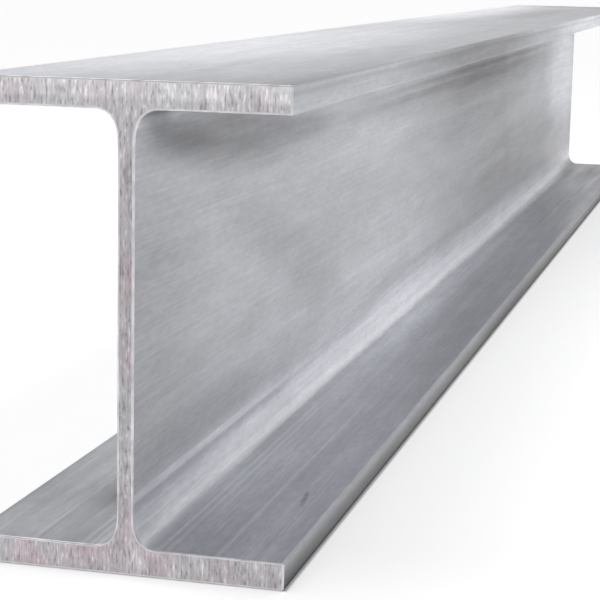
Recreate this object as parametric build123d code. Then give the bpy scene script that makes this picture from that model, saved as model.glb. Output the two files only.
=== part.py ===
"""H-beam: one length of extruded aluminium stock with parallel flanges, sawn square at both ends.

Frame, in millimetres: Z is up, from the underside of the bottom flange. Y runs along the length and X
across the flanges. The origin is under the middle of the bar, on the floor that the bar stands on.
"""

import os

from build123d import *

# Section: the outline that the die gives the bar
DEPTH = 152.4  # over both flanges
FLANGE_WIDTH = 101.6
FLANGE_THICKNESS = 8.89
WEB_THICKNESS = 5.334
ROOT_RADIUS = 7.62  # fillet where the web runs into a flange
TOE_RADIUS = 0.8  # eased corners of the flange tips

# Length and ends
LENGTH = 1219.2
END_BREAK = 0.5  # chamfer where the saw burr is filed off


def section():
    """The bar's section, standing on the XZ plane: down the right side of the outline and up its mirror."""
    tip = FLANGE_WIDTH / 2
    web_face = WEB_THICKNESS / 2
    right_side = [
        (tip, DEPTH),
        (tip, DEPTH - FLANGE_THICKNESS),
        (web_face, DEPTH - FLANGE_THICKNESS),
        (web_face, FLANGE_THICKNESS),
        (tip, FLANGE_THICKNESS),
        (tip, 0),
    ]
    left_side = [(-x, z) for x, z in reversed(right_side)]
    side_radii = [TOE_RADIUS, TOE_RADIUS, ROOT_RADIUS, ROOT_RADIUS, TOE_RADIUS, TOE_RADIUS]
    outline = FilletPolyline(right_side + left_side, radius=side_radii * 2, close=True)
    return Plane.XZ * make_face(outline)


def beam():
    """The section drawn out to length, with every edge of the two sawn ends broken."""
    bar = extrude(section(), LENGTH / 2, both=True)
    sawn_ends = bar.faces().filter_by(Axis.Y)
    return chamfer(sawn_ends.edges(), END_BREAK)


os.makedirs("parts", exist_ok=True)
export_step(beam(), "parts/h_beam.step")
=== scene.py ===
"""Looks of the H-beam: the extruded skin with its die lines, and the two sawn ends with their filed edges.

Metres, in the part's own frame: Y runs along the beam, Z is up from the underside of the bottom flange.
"""

import math
import random

import bmesh
import bpy
from mathutils import Matrix, Vector


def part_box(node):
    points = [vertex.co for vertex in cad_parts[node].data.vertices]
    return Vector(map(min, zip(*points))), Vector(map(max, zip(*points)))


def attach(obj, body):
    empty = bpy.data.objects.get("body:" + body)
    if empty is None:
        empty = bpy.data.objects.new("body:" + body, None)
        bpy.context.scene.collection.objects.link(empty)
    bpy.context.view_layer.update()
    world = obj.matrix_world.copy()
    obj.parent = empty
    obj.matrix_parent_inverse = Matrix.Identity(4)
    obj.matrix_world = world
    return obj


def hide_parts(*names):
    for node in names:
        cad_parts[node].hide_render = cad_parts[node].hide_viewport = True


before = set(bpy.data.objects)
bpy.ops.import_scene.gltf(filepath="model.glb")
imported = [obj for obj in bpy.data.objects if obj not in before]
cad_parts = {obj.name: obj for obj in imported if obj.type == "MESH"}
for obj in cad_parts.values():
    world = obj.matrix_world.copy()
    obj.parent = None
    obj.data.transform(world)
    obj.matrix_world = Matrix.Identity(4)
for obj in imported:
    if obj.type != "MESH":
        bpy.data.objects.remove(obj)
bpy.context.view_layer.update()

MM = 0.001

# Section and length of the beam
LOW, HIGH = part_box("h_beam")
TIP = HIGH.x
TOP = HIGH.z
FRONT = LOW.y
LENGTH = HIGH.y - LOW.y
FLANGE = 8.89 * MM
WEB_FACE = 5.334 * MM / 2
ROOT_RADIUS = 7.62 * MM
TOE_RADIUS = 0.8 * MM
END_BREAK = 0.5 * MM

# Fineness of the mesh, and the angle past which two faces meet in a sharp edge
ROOT_STEPS = 14
TOE_STEPS = 3
BREAK_STEPS = 3
RINGS = 15
SHARP_ANGLE = math.radians(40)

# Marks of the die, which run the whole length: shallow lines all over, a ridge on the web beside each
# root, a web that thickens a little towards its roots, and fine raised lines on the inner faces of the
# flanges
DIE_LINE_PITCH = 0.75 * MM
DIE_LINE_DEPTH = 0.014 * MM
WEB_RIDGE_FROM_EDGE = 22.6 * MM
WEB_RIDGE_WIDTH = 3.6 * MM
WEB_RIDGE_RISE = 0.07 * MM
ROOT_FLARE_HEIGHT = 15.0 * MM
ROOT_FLARE_FULL = 5.0 * MM
ROOT_FLARE = 0.35 * MM
FLANGE_LINES_FROM_MIDDLE = (10.9 * MM, 13.6 * MM, 29.6 * MM)
FLANGE_LINE_WIDTH = 2.2 * MM
FLANGE_LINE_RISE = 0.08 * MM

# Marks of the saw, which run up the section, at a pitch that varies by these shares of it, and the width of
# the burnished rim beside the filed edge
SAW_STROKE_PITCH = 1.1 * MM
SAW_STROKE_UNEVEN = (0.5, 1.5)
SAW_STROKE_DEPTH = 0.05 * MM
RIM_WIDTH = 0.2 * MM

# Painted highlight along the lower roots, where the concave fillets catch the light: how far from the web's
# face it is full and where it ends, how far above the flange its brightest part starts, how high above the
# floor it ends, and both tones
ROOT_LIGHT_FULL = 0.8 * MM
ROOT_LIGHT_END = 4.5 * MM
ROOT_HIGHLIGHT_PLATEAU = 4.0 * MM
ROOT_HIGHLIGHT_TOP = 31.0 * MM
ROOT_HIGHLIGHT_TONE = 1.2
PLATEAU_HIGHLIGHT_TONE = 1.3

# The painted highlight above each lower ridge and the painted shade below it, where its flanks face towards
# and away from the light: distance from the ridge, half width and tone. From the front end they are full up
# to the second distance, and gone at the first
CREST_HIGHLIGHT = (1.7 * MM, 1.9 * MM, 1.3)
FOOT_SHADE = (-1.5 * MM, 1.8 * MM, 0.88)
RIDGE_LINES_FADE = (260 * MM, 120 * MM)

# Inner face of the bottom flange: the margin within which a height is on it, where that fades out above it,
# the tone of the face and of the painted highlight on the raised lines on it, and where these lines fade
# along the beam
INNER_FACE_MARGIN = 0.5 * MM
INNER_FACE_FADE = 2.0 * MM
INNER_FACE_TONE = 1.17
FLANGE_LINE_HIGHLIGHT_TONE = 1.16
FLANGE_LINES_FADE = (300 * MM, 120 * MM)

# Grains of the extruded skin: width, length and height of each in millimetres, its detail, the shift of
# its pattern, and how far it darkens and lightens the metal
SKIN_GRAINS = {
    "fine": ((0.8, 70, 0.8), 3.0, 0.0, 0.06),
    "lines": ((4.0, 320, 4.0), 2.0, 3.0, 0.08),
    "bands": ((22, 900, 22), 2.0, 7.0, 0.04),
    "clouds": ((26, 100, 26), 4.0, 11.0, 0.07),
    "blotches": ((9, 36, 9), 4.0, 13.0, 0.06),
    "specks": ((1.5, 7, 1.5), 3.0, 15.0, 0.06),
}

# The rest of the skin: its metal, the scratches along it, the web darkened as painted shade, the top face
# from left to right, painted lighter at its left and darker at its right as if lit from the left, its
# roughness with the lines and with the clouds, and the height of its fine grain
SKIN_TINT = (0.578, 0.584, 0.62)
SCRATCH_GRAIN = (0.5, 28, 0.5)
SCRATCH_EDGES = (0.58, 0.72)
SCRATCH_TONE = 1.1
WEB_SHADE_TONE = 0.78
TOP_FACE_LIGHT_TONES = (1.1, 0.84)
SKIN_ROUGHNESS = (0.39, 0.49)
CLOUD_ROUGHNESS = (0.92, 1.08)
SKIN_RELIEF = 0.014 * MM
SKIN_ANISOTROPY = 0.2

# Painted light and shade in patches, in millimetres: the shade under the top flange with the dark and light
# lines there, lighter and darker stretches along the beam, the shade on the bottom flange's left under the
# top flange, the top face lighter at its far left and the web lighter at its far end. For each: the middle of
# the patch (across, from the front end, up), how far it reaches each way, and how dark or light it leaves the
# skin
PAINTED_LIGHT_PATCHES = {
    "under top flange, by the front": ((0, 215, 122), (60, 70, 8), 0.72),
    "under top flange, middle": ((0, 380, 121), (60, 240, 7), 0.82),
    "under top flange, far": ((0, 695, 124), (60, 350, 11), 0.44),
    "under top flange, far, wide": ((0, 720, 117), (60, 430, 17), 0.55),
    "under top flange, far, narrow": ((0, 680, 118), (60, 260, 5), 0.8),
    "under top flange, far, upper line": ((3, 690, 125.3), (14, 470, 1.9), 0.74),
    "under top flange, far, light line": ((3, 670, 122.4), (14, 470, 1.6), 1.3),
    "under top flange, far, lower line": ((3, 690, 119), (14, 450, 2.6), 0.8),
    "web's upper part, far": ((0, 720, 100), (60, 320, 30), 0.78),
    "web's upper part, middle": ((3, 335, 104), (14, 130, 18), 1.14),
    "web, front": ((3, 0, 78), (14, 95, 56), 0.77),
    "web, darker spot": ((3, 240, 64), (14, 60, 30), 0.9),
    "web, above the front root": ((3, 270, 31), (14, 110, 8), 1.14),
    "web, far": ((3, 670, 74), (14, 310, 60), 0.77),
    "web, far end": ((3, 1150, 100), (60, 170, 66), 1.55),
    "root, front": ((4, 0, 18), (12, 45, 14), 0.86),
    "web's lower part, front": ((3, 0, 38), (14, 150, 32), 0.88),
    "web's lower part, middle": ((3, 340, 28), (14, 330, 46), 1.3),
    "web's lower part, far": ((3, 880, 52), (14, 350, 38), 0.64),
    "top flange, middle": ((-16, 310, 153), (58, 370, 6), 1.4),
    "top flange, front": ((5, 85, 153), (34, 110, 6), 0.9),
    "top flange, right front": ((52, 50, 153), (20, 220, 2), 0.74),
    "top flange, far left": ((-46, 930, 153), (44, 540, 6), 1.45),
    "top flange, far middle": ((8, 920, 153), (20, 260, 6), 0.78),
    "top flange, far end": ((15, 1215, 153), (70, 120, 4), 0.74),
    "top flange's right tip": ((51, 360, 148), (2.2, 260, 12), 0.44),
    "top flange's right tip, far": ((51, 860, 148), (2.2, 280, 12), 1.7),
    "bottom flange, right front": ((44, 10, 10), (26, 110, 3), 1.2),
    "bottom flange, by the far root": ((13, 500, 9), (10, 380, 7), 1.38),
    "bottom flange, far right": ((40, 1000, 10), (50, 440, 3), 0.44),
    "bottom flange, far end": ((20, 1215, 9), (70, 160, 8), 0.5),
    "bottom flange's right edge, far": ((50, 720, 9), (12, 250, 3), 0.78),
    "bottom flange, left front corner": ((-38, 8, 9), (22, 38, 8), 1.2),
    "bottom flange, left, behind it": ((-22, 62, 9), (16, 32, 8), 0.62),
    "bottom flange's left edge, front": ((-51, 40, 9), (3.5, 320, 3), 0.72),
    "bottom flange, left front": ((-34, 60, 9), (48, 200, 8), 0.55),
    "bottom flange's right tip, far": ((51, 560, 4), (2.2, 300, 9), 0.64),
}

# Patches of painted shade, most of them under the top flange, that lean down towards the far end, with the
# degrees that they lean too
LEANING = {
    "under top flange, front": ((0, 105, 129), (60, 150, 19), 0.44, 4),
    "under top flange, by the front root": ((0, 16, 141), (60, 26, 8), 0.64, 14),
    "under top flange, by the front, low": ((0, 50, 130), (60, 60, 9), 0.74, 8),
    "web, darker swath": ((3, 180, 76), (14, 150, 20), 0.84, 19),
}

# The share of a patch that is full, and the grain that makes its edges ragged by thinning or thickening it
PATCH_CORE = 0.2
RAGGED_GRAIN = (6, 70, 6)
RAGGED_DETAIL = 4.0
RAGGED_SHIFT = 21.0
RAGGED_LEVELS = (0.78, 1.12)

# A burnished stretch on the left of the top flange, and how much of its roughness and relief is left
BURNISHED_MIDDLE = Vector((-46 * MM, FRONT + 930 * MM, TOP))
BURNISHED_REACH = (44 * MM, 540 * MM, 6 * MM)
BURNISHED_ROUGHNESS = 0.76
BURNISHED_RELIEF = 0.2

# The flanges' tips: tone of the upper ones, darkened as painted shade, of the lower ones from bottom to top,
# with painted shade that darkens them towards the floor, and of the lighter upper toes; and a dark matte
# layer of painted shade on the lower toes, for the contact shadow by the floor
TIP_TONE = 0.8
TIP_SHADE_BOTTOM = 1.0 * MM
TIP_SHADE_TOP = 9.0 * MM
TIP_SHADE_TONES = (0.16, 0.56)
UPPER_TOE_TONE = 1.3
CONTACT_SHADE_TOP = 1.9 * MM
CONTACT_SHADE_COLOUR = (0.03, 0.03, 0.035, 1)
CONTACT_SHADE_ROUGHNESS = 0.85

# One nick on the right of the bottom flange, with a ragged edge. Its depth is in heights of the fine grain
NICK_PLACE = Vector((39.8 * MM, FRONT + 69 * MM, FLANGE))
NICK_TURN = math.radians(7)
NICK_SIZE = (1.1 * MM, 12 * MM, 2 * MM)
NICK_CORE = 0.4
NICK_GRAIN = (0.5, 2.5, 0.5)
NICK_LEVELS = (0.4, 1.2)
NICK_TONE = 0.56
NICK_DEPTH = 4.0

# Grains of the sawn ends, as those of the skin
SAWN_GRAINS = {
    "strokes": ((0.6, 50, 14), 2.0, 0.0, 0.17),
    "sweeps": ((2.4, 50, 60), 2.0, 2.0, 0.1),
    "clouds": ((5, 50, 8), 2.0, 9.0, 0.12),
}

# Short dark and light ticks between the saw's strokes: where in their grain each starts and is full, and
# the tone that it leaves
TICK_GRAIN = (0.75, 50, 3.0)
DARK_TICKS = (0.46, 0.28)
DARK_TICK_TONE = 0.64
LIGHT_TICKS = (0.54, 0.72)
LIGHT_TICK_TONE = 1.36

# Tones up the sawn ends: the bottom flange and the web, the web's top, and the upper half of the top flange
SAWN_LOW_TONES = (0.8, 0.75)
SAWN_HIGH_TONE = 1.2
SAWN_TOP_TONE = 1.24

# A dull spot on each end, where the web meets the top flange
DULL_MIDDLE = Vector((0, 0, TOP - FLANGE / 2))
DULL_REACH = (11 * MM, LENGTH, 12 * MM)
DULL_TONE = 0.84

# Metal of the sawn ends, plain and where it has a mauve tinge, and how much of that is left at the top
SAWN_COLOUR = (0.62, 0.612, 0.634, 1)
MAUVE_COLOUR = (0.63, 0.55, 0.588, 1)
MAUVE_GRAIN = (13, 50, 22)
MAUVE_EDGES = (0.34, 0.7)
MAUVE_ON_TOP = 0.42
SAWN_ROUGHNESS = (0.42, 0.58)
SAWN_RELIEF = 0.05 * MM

# The filed edges, with patches of more and less wear
FILED_TINT = (0.65, 0.64, 0.655)
FILED_GRAIN = (5, 5, 5)
FILED_TONES = (0.84, 1.16)
FILED_ROUGHNESS = (0.5, 0.38)

# The floor, and how far it is whitened, to the eye and in the metal that mirrors it. The shadow keeps a
# narrow strip beside the flanges' tips from being whitened
FLOOR_HALF_SIZE = 40
FLOOR_DROP = 0.2 * MM
FLOOR_COLOUR = (0.8, 0.8, 0.8, 1)
FLOOR_GLOW = 0.5
CONTACT_SHADOW_WIDTH = 1.4 * MM

# The backdrop, by the parts of a direction: where the white above the horizon ends, where the screens before
# and behind the beam start and where they end above, and the level of the room above them
HORIZON_EDGES = (0.2, 0.1)
SCREEN_SIDES = (0.5, 0.85)
SCREEN_TOPS = (0.65, 0.45)
ROOM_LEVEL = 0.1

# Camera, as the photograph was taken: from the right of the front end and a little above the top flange
CAMERA_PLACE = Vector((185.8, -525.6, 187.4)) * MM + Vector((0, FRONT, 0))
CAMERA_HEADING = math.radians(14.07)
CAMERA_DIP = math.radians(10.21)
CAMERA_ROLL = math.radians(1.18)
CAMERA_LENS = 112.6
CAMERA_NEAREST = 0.01
SENSOR_WIDTH = 36.0

# Noise keeps within these levels, all but a little
NOISE_LOW = 0.3
NOISE_HIGH = 0.7

DRAW_SEED = 6
draw = random.Random(DRAW_SEED)


# Mesh of the beam


def section_face(bm):
    """The section at the front end, as one face with rounded roots and eased toes."""
    right = [(TIP, TOP), (TIP, TOP - FLANGE), (WEB_FACE, TOP - FLANGE)]
    right += [(WEB_FACE, FLANGE), (TIP, FLANGE), (TIP, 0)]
    left = [(-x, z) for x, z in reversed(right)]
    corners = [bm.verts.new((x, FRONT + END_BREAK, z)) for x, z in right + left]
    bm.faces.new(corners)
    roots = [v for v in corners if abs(v.co.x) < TIP / 2]
    toes = [v for v in corners if abs(v.co.x) > TIP / 2]
    rounding = {"profile": 0.5, "affect": "VERTICES", "material": -1}
    bmesh.ops.bevel(bm, geom=roots, offset=ROOT_RADIUS, segments=ROOT_STEPS, **rounding)
    bmesh.ops.bevel(bm, geom=toes, offset=TOE_RADIUS, segments=TOE_STEPS, **rounding)


def ridge(distance, width, rise):
    """Height of a rounded ridge at a distance from its crest."""
    if abs(distance) > width / 2:
        return 0
    return rise * (0.5 + 0.5 * math.cos(2 * math.pi * distance / width))


def draw_die_lines(bm):
    """Divides the straight runs of the outline and moves their points in or out, as the die left them."""
    for edge in [e for e in bm.edges if e.calc_length() > 2 * DIE_LINE_PITCH]:
        run = edge.verts[1].co - edge.verts[0].co
        upright = abs(run.z) > abs(run.x)
        cut = bmesh.ops.subdivide_edges(bm, edges=[edge], cuts=round(run.length / DIE_LINE_PITCH))
        for point in [g for g in cut["geom_inner"] if isinstance(g, bmesh.types.BMVert)]:
            x, z = abs(point.co.x), min(point.co.z, TOP - point.co.z)
            height = -DIE_LINE_DEPTH * draw.random() ** 2
            if upright and x < TIP / 2:
                height += ridge(z - WEB_RIDGE_FROM_EDGE, WEB_RIDGE_WIDTH, WEB_RIDGE_RISE)
            if not upright and z > FLANGE / 2:
                height += sum(ridge(x - line, FLANGE_LINE_WIDTH, FLANGE_LINE_RISE)
                              for line in FLANGE_LINES_FROM_MIDDLE)
            if upright:
                point.co.x += height * math.copysign(1, point.co.x)
            else:
                towards_middle = math.copysign(1, TOP / 2 - point.co.z)
                point.co.z += height * (towards_middle if z > FLANGE / 2 else -towards_middle)


def flare_roots(bm):
    """Thickens the web a little where it comes down to its roots."""
    for point in [v for v in bm.verts if abs(v.co.x) < TIP / 2]:
        height = min(point.co.z, TOP - point.co.z) - FLANGE
        if 0 < height < ROOT_FLARE_HEIGHT:
            above = (ROOT_FLARE_HEIGHT - height) / (ROOT_FLARE_HEIGHT - ROOT_FLARE_FULL)
            share = min(above, height / ROOT_FLARE_FULL)
            point.co.x += math.copysign(ROOT_FLARE * share ** 2, point.co.x)


def draw_out(bm):
    """Extrudes the section to length and divides it into rings."""
    drawn = bmesh.ops.extrude_face_region(bm, geom=list(bm.faces))
    far = [g for g in drawn["geom"] if isinstance(g, bmesh.types.BMVert)]
    bmesh.ops.translate(bm, vec=(0, LENGTH - 2 * END_BREAK, 0), verts=far)
    lengthwise = [e for e in bm.edges if abs(e.verts[0].co.y - e.verts[1].co.y) > LENGTH / 2]
    bmesh.ops.subdivide_edges(bm, edges=lengthwise, cuts=RINGS, use_grid_fill=True)


def inset_end(bm, face, inward, advance):
    """Steps one end face in from its outline and out along the beam, and leaves a ring of filed edge."""
    rim = bmesh.ops.inset_region(bm, faces=[face], thickness=inward, use_even_offset=True)
    for ring_face in rim["faces"]:
        ring_face.material_index = 2
    bmesh.ops.translate(bm, vec=(0, advance, 0), verts=face.verts)


def saw_end(bm, outward):
    """Rounds the edge of one end with a file and leaves the saw's strokes on its face."""
    face = max(bm.faces, key=lambda f: len(f.verts) * (f.calc_center_median().y * outward > 0))
    turned = [math.radians(90 * step / BREAK_STEPS) for step in range(BREAK_STEPS + 1)]
    for before, after in zip(turned, turned[1:]):
        inward = END_BREAK * (math.cos(before) - math.cos(after))
        inset_end(bm, face, inward, END_BREAK * (math.sin(after) - math.sin(before)) * outward)
    inset_end(bm, face, RIM_WIDTH, 0)
    face.material_index = 1
    cap = [face, *face.edges, *face.verts]
    x = -TIP + SAW_STROKE_PITCH
    while x < TIP - SAW_STROKE_PITCH:
        cut = bmesh.ops.bisect_plane(bm, geom=cap, plane_co=(x, 0, 0), plane_no=(1, 0, 0))
        sink = SAW_STROKE_DEPTH * draw.random()
        for point in [g for g in cut["geom_cut"] if isinstance(g, bmesh.types.BMVert)]:
            point.co.y -= sink * outward
        cap = cut["geom"]
        x += SAW_STROKE_PITCH * draw.uniform(*SAW_STROKE_UNEVEN)


def beam_mesh():
    bm = bmesh.new()
    section_face(bm)
    draw_die_lines(bm)
    flare_roots(bm)
    draw_out(bm)
    saw_end(bm, -1)
    saw_end(bm, 1)
    bmesh.ops.recalc_face_normals(bm, faces=list(bm.faces))
    for face in bm.faces:
        face.smooth = True
    mesh = bpy.data.meshes.new("h_beam_bar")
    bm.to_mesh(mesh)
    bm.free()
    mesh.set_sharp_from_angle(angle=SHARP_ANGLE)
    return mesh


# Shader nodes


def add(tree, kind, inputs=None, **settings):
    """Adds a node, with its settings, and its inputs as values or as links from other sockets."""
    node = tree.nodes.new(kind)
    for name, value in settings.items():
        setattr(node, name, value)
    for name, value in (inputs or {}).items():
        if isinstance(value, bpy.types.NodeSocket):
            tree.links.new(value, node.inputs[name])
        else:
            node.inputs[name].default_value = value
    return node


def calc(tree, operation, *values):
    """One step of arithmetic on values or sockets."""
    return add(tree, "ShaderNodeMath", dict(enumerate(values)), operation=operation).outputs[0]


def product(tree, *factors):
    total = factors[0]
    for factor in factors[1:]:
        total = calc(tree, "MULTIPLY", total, factor)
    return total


def ease(tree, value, start, end, low=0.0, high=1.0):
    """Goes smoothly from low to high as the value goes from start to end."""
    limits = {"Value": value, "From Min": start, "From Max": end, "To Min": low, "To Max": high}
    return add(tree, "ShaderNodeMapRange", limits, interpolation_type="SMOOTHSTEP").outputs["Result"]


def spread(tree, noise, low, high):
    """Noise, which keeps near its middle, spread between two values."""
    limits = {"Value": noise, "From Min": NOISE_LOW, "From Max": NOISE_HIGH, "To Min": low, "To Max": high}
    return add(tree, "ShaderNodeMapRange", limits).outputs["Result"]


def faded(tree, mask, level):
    """1 where the mask is 0, and the level where it is 1."""
    limits = {"Value": mask, "To Min": 1.0, "To Max": level}
    return add(tree, "ShaderNodeMapRange", limits).outputs["Result"]


def between(tree, mask, plain, other):
    """The plain value where the mask is 0, and the other one where it is 1."""
    return add(tree, "ShaderNodeMix", {"Factor": mask, "A": plain, "B": other}).outputs["Result"]


def tinted(tree, tint, value):
    colour = add(tree, "ShaderNodeVectorMath", {0: tint, "Scale": value}, operation="SCALE")
    return colour.outputs["Vector"]


def surface(name):
    """A new metal with an empty node tree, its Principled shader and that shader's output."""
    material = bpy.data.materials.new(name)
    material.use_nodes = True
    tree = material.node_tree
    tree.nodes.clear()
    shader = add(tree, "ShaderNodeBsdfPrincipled", {"Metallic": 1.0})
    add(tree, "ShaderNodeOutputMaterial", {"Surface": shader.outputs["BSDF"]})
    return material, tree, shader


def emboss(tree, shader, height, distance):
    """Gives the surface a fine relief."""
    bump = add(tree, "ShaderNodeBump", {"Height": height, "Distance": distance, "Strength": 1.0})
    tree.links.new(bump.outputs[0], shader.inputs["Normal"])


def object_place(tree):
    return add(tree, "ShaderNodeTexCoord").outputs["Object"]


def grain_group():
    """Noise drawn out into lines or patches of the width, length and height asked."""
    tree = bpy.data.node_groups.new("grain", "ShaderNodeTree")
    tree.interface.new_socket("Size", in_out="INPUT", socket_type="NodeSocketVector")
    tree.interface.new_socket("Detail", in_out="INPUT", socket_type="NodeSocketFloat")
    tree.interface.new_socket("Shift", in_out="INPUT", socket_type="NodeSocketFloat")
    tree.interface.new_socket("Grain", in_out="OUTPUT", socket_type="NodeSocketFloat")
    asked = add(tree, "NodeGroupInput").outputs
    sized = {0: object_place(tree), 1: asked["Size"]}
    cells = add(tree, "ShaderNodeVectorMath", sized, operation="DIVIDE").outputs[0]
    shifted = add(tree, "ShaderNodeVectorMath", {0: cells, 1: asked["Shift"]}, operation="ADD").outputs[0]
    noise = add(tree, "ShaderNodeTexNoise", {"Vector": shifted, "Detail": asked["Detail"], "Scale": 1.0})
    add(tree, "NodeGroupOutput", {"Grain": noise.outputs["Fac"]})
    return tree


GRAIN = grain_group()


def grain(tree, size, detail=2.0, shift=0.0):
    """Places the grain group. The size is the width, length and height of its lines or patches."""
    values = {"Size": [side * MM for side in size], "Detail": detail, "Shift": shift}
    node = tree.nodes.new("ShaderNodeGroup")
    node.node_tree = GRAIN
    for name, value in values.items():
        node.inputs[name].default_value = value
    return node.outputs["Grain"]


def grains(tree, table):
    """Places all the grains of a table, and returns them by name, with the tone that they leave together."""
    placed = {}
    tones = []
    for name, (size, detail, shift, depth) in table.items():
        placed[name] = grain(tree, size, detail, shift)
        tones.append(spread(tree, placed[name], 1 - depth, 1 + depth))
    return placed, product(tree, *tones)


# Materials


def web_mask(tree, x, z):
    """1 on the web, 0 on the flanges, with a soft change over the roots."""
    thin = ease(tree, x, WEB_FACE + ROOT_RADIUS, WEB_FACE + ROOT_RADIUS / 3)
    above = ease(tree, z, FLANGE, FLANGE + ROOT_RADIUS)
    below = ease(tree, z, TOP - FLANGE, TOP - FLANGE - ROOT_RADIUS)
    return product(tree, thin, above, below)


def patch_mask(tree, place, middle, reach, turn=(0, 0, 0), core=PATCH_CORE):
    """1 in the middle of a rounded patch and 0 beyond its reach. The core is the share of it that is full."""
    where = {"Vector": place, "Location": middle, "Rotation": turn, "Scale": reach}
    local = add(tree, "ShaderNodeMapping", where, vector_type="TEXTURE")
    away = add(tree, "ShaderNodeVectorMath", {0: local.outputs[0]}, operation="LENGTH").outputs["Value"]
    return ease(tree, away, 1.0, core)


def painted_light_and_shade(tree, place):
    """Tone of the painted light and shade patches together, with ragged edges."""
    blur = grain(tree, RAGGED_GRAIN, RAGGED_DETAIL, RAGGED_SHIFT)
    ragged = spread(tree, blur, *RAGGED_LEVELS)
    upright = [(*patch, 0) for patch in PAINTED_LIGHT_PATCHES.values()]
    tones = []
    for (across, along, up), reach, level, lean in upright + list(LEANING.values()):
        middle = (across * MM, FRONT + along * MM, up * MM)
        turn = (math.radians(-lean), 0, 0)
        mask = patch_mask(tree, place, middle, [side * MM for side in reach], turn)
        tones.append(faded(tree, calc(tree, "MULTIPLY", mask, ragged), level))
    return product(tree, *tones)


def tip_mask(tree, across):
    """1 on the flanges' tips and 0 on their faces."""
    return ease(tree, across, TIP - TOE_RADIUS, TIP - TOE_RADIUS / 3)


def tip_shade(tree, across, z):
    """Tone of the flanges' tips: painted shade, a little darker than the rest and darker still towards the
    floor, and lighter at the upper toes.
    """
    shaded = ease(tree, z, TIP_SHADE_BOTTOM, TIP_SHADE_TOP, *TIP_SHADE_TONES)
    level = between(tree, ease(tree, z, TOP / 3, TOP / 2), shaded, TIP_TONE)
    upper_toe = faded(tree, ease(tree, z, TOP - 3 * TOE_RADIUS, TOP - TOE_RADIUS), UPPER_TOE_TONE)
    return between(tree, tip_mask(tree, across), 1.0, product(tree, level, upper_toe))


def painted_contact_shade(tree, across, z):
    """1 where a dark matte layer of painted shade, for the contact shadow by the floor, hides the metal, on
    the lower toes and a little above them.
    """
    outer = ease(tree, across, TIP - 2 * TOE_RADIUS, TIP - TOE_RADIUS)
    toe = product(tree, outer, ease(tree, z, TOE_RADIUS, 0))
    side = product(tree, tip_mask(tree, across), ease(tree, z, CONTACT_SHADE_TOP, CONTACT_SHADE_TOP / 3))
    return calc(tree, "MAXIMUM", side, toe)


def line_mask(tree, value, middle, half_width):
    """1 along a line where the value is its middle, 0 beyond its half width."""
    away = calc(tree, "ABSOLUTE", calc(tree, "SUBTRACT", value, middle))
    return ease(tree, away, half_width, half_width / 3)


def root_highlight(tree, web, z):
    """Tone of the lower roots, with a painted highlight where the fillets catch the light."""
    root = product(tree, web, ease(tree, z, ROOT_HIGHLIGHT_TOP, FLANGE + ROOT_RADIUS))
    plateau = product(tree, root, ease(tree, z, FLANGE + ROOT_HIGHLIGHT_PLATEAU, FLANGE + ROOT_RADIUS))
    return product(tree, faded(tree, root, ROOT_HIGHLIGHT_TONE), faded(tree, plateau, PLATEAU_HIGHLIGHT_TONE))


def ridge_lines(tree, web, from_front, z):
    """Tone of the painted highlight and painted shade beside the lower ridges, near the front."""
    front = product(tree, web, ease(tree, from_front, *RIDGE_LINES_FADE))
    tones = []
    for from_ridge, half_width, tone in (CREST_HIGHLIGHT, FOOT_SHADE):
        line = line_mask(tree, z, WEB_RIDGE_FROM_EDGE + from_ridge, half_width)
        tones.append(faded(tree, product(tree, front, line), tone))
    return product(tree, *tones)


def flange_lines(tree, across, from_front, z):
    """Tone of the bottom flange's inner face and the painted highlight on the raised lines on it."""
    above = ease(tree, z, FLANGE / 2, FLANGE - INNER_FACE_MARGIN)
    below = ease(tree, z, FLANGE + INNER_FACE_FADE, FLANGE + INNER_FACE_MARGIN)
    face = product(tree, above, below)
    inner = product(tree, face, ease(tree, across, WEB_FACE + ROOT_RADIUS, WEB_FACE + 2.5 * ROOT_RADIUS))
    first, second, third = (line_mask(tree, across, line, FLANGE_LINE_WIDTH / 2)
                            for line in FLANGE_LINES_FROM_MIDDLE)
    lines = calc(tree, "MAXIMUM", first, calc(tree, "MAXIMUM", second, third))
    shown = product(tree, face, ease(tree, from_front, *FLANGE_LINES_FADE), lines)
    return product(tree, faded(tree, inner, INNER_FACE_TONE), faded(tree, shown, FLANGE_LINE_HIGHLIGHT_TONE))


def painted_die_mark_light(tree, across, from_front, z):
    """Painted highlights and shade by the die's marks: along the lower roots, beside the ridges, and on the
    bottom flange's inner face and its lines.
    """
    beside = ease(tree, across, WEB_FACE + ROOT_LIGHT_END, WEB_FACE + ROOT_LIGHT_FULL)
    web = product(tree, beside, ease(tree, z, FLANGE / 2, FLANGE))
    return product(tree, root_highlight(tree, web, z), ridge_lines(tree, web, from_front, z),
                   flange_lines(tree, across, from_front, z))


def nick_mask(tree, place):
    """1 in the nick, with a ragged edge."""
    ragged = spread(tree, grain(tree, NICK_GRAIN, shift=25.0), *NICK_LEVELS)
    return product(tree, patch_mask(tree, place, NICK_PLACE, NICK_SIZE, (0, 0, NICK_TURN), NICK_CORE), ragged)


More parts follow.
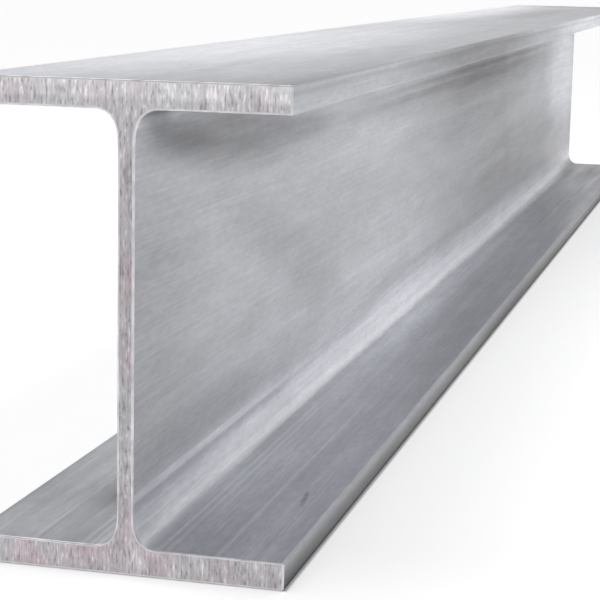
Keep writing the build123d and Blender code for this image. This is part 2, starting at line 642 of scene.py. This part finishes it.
def extruded_skin():
    material, tree, shader = surface("extruded_skin")
    place = object_place(tree)
    split = add(tree, "ShaderNodeSeparateXYZ", {"Vector": place})
    x, y, z = (split.outputs[axis] for axis in "XYZ")
    across = calc(tree, "ABSOLUTE", x)
    from_front = calc(tree, "SUBTRACT", y, FRONT)
    noises, grained = grains(tree, SKIN_GRAINS)
    scratches = ease(tree, grain(tree, SCRATCH_GRAIN, shift=18.0), *SCRATCH_EDGES)
    nick = nick_mask(tree, place)
    toe_shade = painted_contact_shade(tree, across, z)
    burnished = patch_mask(tree, place, BURNISHED_MIDDLE, BURNISHED_REACH)

    # The top face is painted lighter at its left and darker at its right, as if lit from the left, and the
    # web is painted darker as shade
    top_face = ease(tree, z, TOP - FLANGE / 2, TOP - FLANGE / 4)
    top_face_light = between(tree, top_face, 1.0, ease(tree, x, -TIP, TIP, *TOP_FACE_LIGHT_TONES))
    tone = product(tree, grained, faded(tree, scratches, SCRATCH_TONE),
                   faded(tree, web_mask(tree, across, z), WEB_SHADE_TONE), faded(tree, nick, NICK_TONE),
                   painted_light_and_shade(tree, place), tip_shade(tree, across, z),
                   painted_die_mark_light(tree, across, from_front, z), top_face_light)
    # The lower toes get a dark matte layer, painted as the contact shadow by the floor
    skin = add(tree, "ShaderNodeMix", {"Factor": toe_shade}, data_type="RGBA")
    tree.links.new(tinted(tree, SKIN_TINT, tone), skin.inputs["A"])
    skin.inputs["B"].default_value = CONTACT_SHADE_COLOUR
    tree.links.new(skin.outputs["Result"], shader.inputs["Base Color"])
    tree.links.new(faded(tree, toe_shade, 0.0), shader.inputs["Metallic"])

    rough = product(tree, spread(tree, noises["lines"], *SKIN_ROUGHNESS),
                    spread(tree, noises["clouds"], *CLOUD_ROUGHNESS),
                    faded(tree, burnished, BURNISHED_ROUGHNESS))
    toe_shade_roughness = calc(tree, "MULTIPLY", toe_shade, CONTACT_SHADE_ROUGHNESS)
    tree.links.new(calc(tree, "MAXIMUM", rough, toe_shade_roughness), shader.inputs["Roughness"])
    relief = calc(tree, "SUBTRACT", noises["fine"], calc(tree, "MULTIPLY", nick, NICK_DEPTH))
    height = calc(tree, "MULTIPLY", relief, faded(tree, burnished, BURNISHED_RELIEF))
    emboss(tree, shader, height, SKIN_RELIEF)
    shader.inputs["Anisotropic"].default_value = SKIN_ANISOTROPY
    around = add(tree, "ShaderNodeTangent", direction_type="RADIAL", axis="Y")
    tree.links.new(around.outputs[0], shader.inputs["Tangent"])
    return material


def sawn_end():
    material, tree, shader = surface("sawn_end")
    place = object_place(tree)
    z = add(tree, "ShaderNodeSeparateXYZ", {"Vector": place}).outputs["Z"]
    noises, grained = grains(tree, SAWN_GRAINS)
    ticks = grain(tree, TICK_GRAIN, shift=4.0)
    dark = ease(tree, ticks, *DARK_TICKS)
    light = ease(tree, ticks, *LIGHT_TICKS)
    dull = patch_mask(tree, place, DULL_MIDDLE, DULL_REACH)
    tone = product(tree, grained, faded(tree, dark, DARK_TICK_TONE), faded(tree, light, LIGHT_TICK_TONE),
                   ease(tree, z, FLANGE, FLANGE + ROOT_RADIUS, *SAWN_LOW_TONES),
                   ease(tree, z, TOP - FLANGE - 3 * ROOT_RADIUS, TOP - FLANGE, 1.0, SAWN_HIGH_TONE),
                   faded(tree, dull, DULL_TONE),
                   ease(tree, z, TOP - 0.75 * FLANGE, TOP - 0.5 * FLANGE, 1.0, SAWN_TOP_TONE))
    patches = ease(tree, grain(tree, MAUVE_GRAIN, shift=13.0), *MAUVE_EDGES)
    low_down = ease(tree, z, TOP - FLANGE, TOP / 2, MAUVE_ON_TOP, 1.0)
    mauve = product(tree, calc(tree, "MAXIMUM", patches, dark), low_down)
    metal = add(tree, "ShaderNodeMix", {"Factor": mauve}, data_type="RGBA")
    metal.inputs["A"].default_value = SAWN_COLOUR
    metal.inputs["B"].default_value = MAUVE_COLOUR
    tree.links.new(tinted(tree, metal.outputs["Result"], tone), shader.inputs["Base Color"])
    tree.links.new(spread(tree, noises["strokes"], *SAWN_ROUGHNESS), shader.inputs["Roughness"])
    emboss(tree, shader, noises["strokes"], SAWN_RELIEF)
    return material


def filed_edge():
    material, tree, shader = surface("filed_edge")
    wear = grain(tree, FILED_GRAIN, detail=4.0)
    metal = tinted(tree, FILED_TINT, spread(tree, wear, *FILED_TONES))
    tree.links.new(metal, shader.inputs["Base Color"])
    tree.links.new(spread(tree, wear, *FILED_ROUGHNESS), shader.inputs["Roughness"])
    return material


def make_beam():
    mesh = beam_mesh()
    for material in (extruded_skin(), sawn_end(), filed_edge()):
        mesh.materials.append(material)
    beam = bpy.data.objects.new("h_beam_bar", mesh)
    bpy.context.scene.collection.objects.link(beam)
    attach(beam, "root")
    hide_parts("h_beam")


# Studio


def contact_shadow(tree):
    """1 under the beam and 0 beyond a narrow strip beside the tips of its flange."""
    split = add(tree, "ShaderNodeSeparateXYZ", {"Vector": object_place(tree)})
    across, along = (calc(tree, "ABSOLUTE", split.outputs[axis]) for axis in "XY")
    beside = ease(tree, across, TIP + CONTACT_SHADOW_WIDTH, TIP)
    return product(tree, beside, ease(tree, along, LENGTH / 2, LENGTH / 2 - CONTACT_SHADOW_WIDTH))


def floor_glow(tree):
    """How much the floor is whitened for rays from the camera, and for reflected and refracted ones."""
    path = add(tree, "ShaderNodeLightPath")
    reflected = calc(tree, "MAXIMUM", path.outputs["Is Glossy Ray"], path.outputs["Is Transmission Ray"])
    seen = calc(tree, "MAXIMUM", path.outputs["Is Camera Ray"], reflected)
    return product(tree, seen, faded(tree, contact_shadow(tree), 0.0), FLOOR_GLOW)


def make_world():
    """White near the horizon all round, white screens before and behind the beam, and a dim room above."""
    world = bpy.data.worlds.new("white_backdrop")
    bpy.context.scene.world = world
    world.use_nodes = True
    tree = world.node_tree
    tree.nodes.clear()
    direction = add(tree, "ShaderNodeTexCoord").outputs["Generated"]
    split = add(tree, "ShaderNodeSeparateXYZ", {"Vector": direction})
    horizon = ease(tree, split.outputs["Z"], *HORIZON_EDGES)
    endwise = ease(tree, calc(tree, "ABSOLUTE", split.outputs["Y"]), *SCREEN_SIDES)
    screens = calc(tree, "MULTIPLY", endwise, ease(tree, split.outputs["Z"], *SCREEN_TOPS))
    level = ease(tree, calc(tree, "MAXIMUM", horizon, screens), 0.0, 1.0, ROOM_LEVEL, 1.0)
    sky = add(tree, "ShaderNodeBackground", {"Strength": level})
    sky.inputs["Color"].default_value = (1, 1, 1, 1)
    add(tree, "ShaderNodeOutputWorld", {"Surface": sky.outputs[0]})


def make_floor():
    bm = bmesh.new()
    bmesh.ops.create_grid(bm, x_segments=1, y_segments=1, size=FLOOR_HALF_SIZE)
    mesh = bpy.data.meshes.new("studio_floor")
    bm.to_mesh(mesh)
    bm.free()
    floor = bpy.data.objects.new("studio_floor", mesh)
    floor.location.z = -FLOOR_DROP
    bpy.context.scene.collection.objects.link(floor)
    material = bpy.data.materials.new("pale_floor")
    material.use_nodes = True
    tree = material.node_tree
    tree.nodes.clear()
    matt = add(tree, "ShaderNodeBsdfDiffuse", {"Color": FLOOR_COLOUR})
    glow = add(tree, "ShaderNodeEmission", {"Color": (1, 1, 1, 1), "Strength": floor_glow(tree)})
    both = add(tree, "ShaderNodeAddShader", {0: matt.outputs[0], 1: glow.outputs[0]})
    add(tree, "ShaderNodeOutputMaterial", {"Surface": both.outputs[0]})
    mesh.materials.append(material)


def aimed(name, lamp, place, aim):
    """Hangs a lamp at a place and turns it to what it lights."""
    holder = bpy.data.objects.new(name, lamp)
    holder.location = place
    holder.rotation_euler = (Vector(aim) - Vector(place)).to_track_quat("-Z", "Y").to_euler()
    holder.visible_camera = False
    bpy.context.scene.collection.objects.link(holder)


def soft_box(name, place, aim, size, power):
    lamp = bpy.data.lights.new(name, "AREA")
    lamp.shape = "RECTANGLE"
    lamp.size, lamp.size_y = size
    lamp.energy = power
    aimed(name, lamp, place, aim)


def soft_sun(name, place, spread_degrees, strength):
    lamp = bpy.data.lights.new(name, "SUN")
    lamp.angle = math.radians(spread_degrees)
    lamp.energy = strength
    aimed(name, lamp, place, (0, 0, 0))


def make_camera():
    lens = bpy.data.cameras.new("camera")
    lens.lens = CAMERA_LENS
    lens.sensor_width = SENSOR_WIDTH
    lens.clip_start = CAMERA_NEAREST
    camera = bpy.data.objects.new("camera", lens)
    level = Matrix.Rotation(CAMERA_HEADING, 4, "Z") @ Matrix.Rotation(math.radians(90) - CAMERA_DIP, 4, "X")
    camera.matrix_world = Matrix.Translation(CAMERA_PLACE) @ level @ Matrix.Rotation(CAMERA_ROLL, 4, "Z")
    bpy.context.scene.collection.objects.link(camera)
    bpy.context.scene.camera = camera


make_beam()
make_world()
make_floor()
soft_sun("left_key", place=(-1.0, 0.2, 2.1), spread_degrees=50, strength=1.25)
soft_box("left_strip", place=(-0.32, 0.3, 0.36), aim=(0, 0.3, 0.15), size=(1.0, 0.2), power=0.2)
soft_box("right_fill", place=(0.6, -0.2, 1.0), aim=(0, -0.2, 0.1), size=(1.1, 0.5), power=4.2)
make_camera()
bpy.context.scene.view_settings.view_transform = "Standard"
